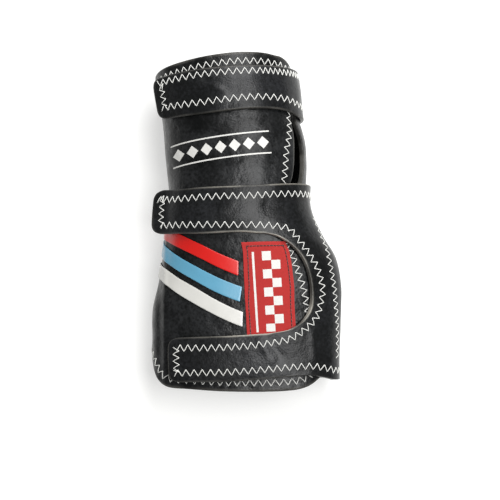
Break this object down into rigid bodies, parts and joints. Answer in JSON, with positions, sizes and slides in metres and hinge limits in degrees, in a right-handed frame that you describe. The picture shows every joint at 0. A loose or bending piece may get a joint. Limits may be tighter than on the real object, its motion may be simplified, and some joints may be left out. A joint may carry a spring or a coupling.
{
  "type": "bowling glove",
  "caption": "Fingerless leather wrist-support glove for the right hand, with a stitched cuff strap, a C-shaped hand strap, three coloured stripes and a label.",
  "frame": {"origin": "middle of the glove's box, on the surface that its palm side rests on", "axes": "+Y from the finger hem to the cuff, +X to the thumb side, +Z out of the back of the hand"},
  "size_m": [0.0944, 0.1674, 0.0569],
  "materials": {
    "panel_leather": "soft black grained leather with a low sheen",
    "strap_leather": "black grained leather, a little shinier, with pale cut edges",
    "red_vinyl": "smooth bright red vinyl",
    "blue_vinyl": "smooth sky-blue vinyl",
    "white_vinyl": "smooth white vinyl",
    "label_cloth": "matt woven red cloth"
  },
  "bodies": {
    "root": {"back_panel": "panel_leather", "palm_panel": "panel_leather", "wrist_strap": "strap_leather", "hand_strap": "strap_leather", "stripe_red": "red_vinyl", "stripe_blue": "blue_vinyl", "stripe_white": "white_vinyl", "label": "label_cloth"}
  },
  "joints": []
}
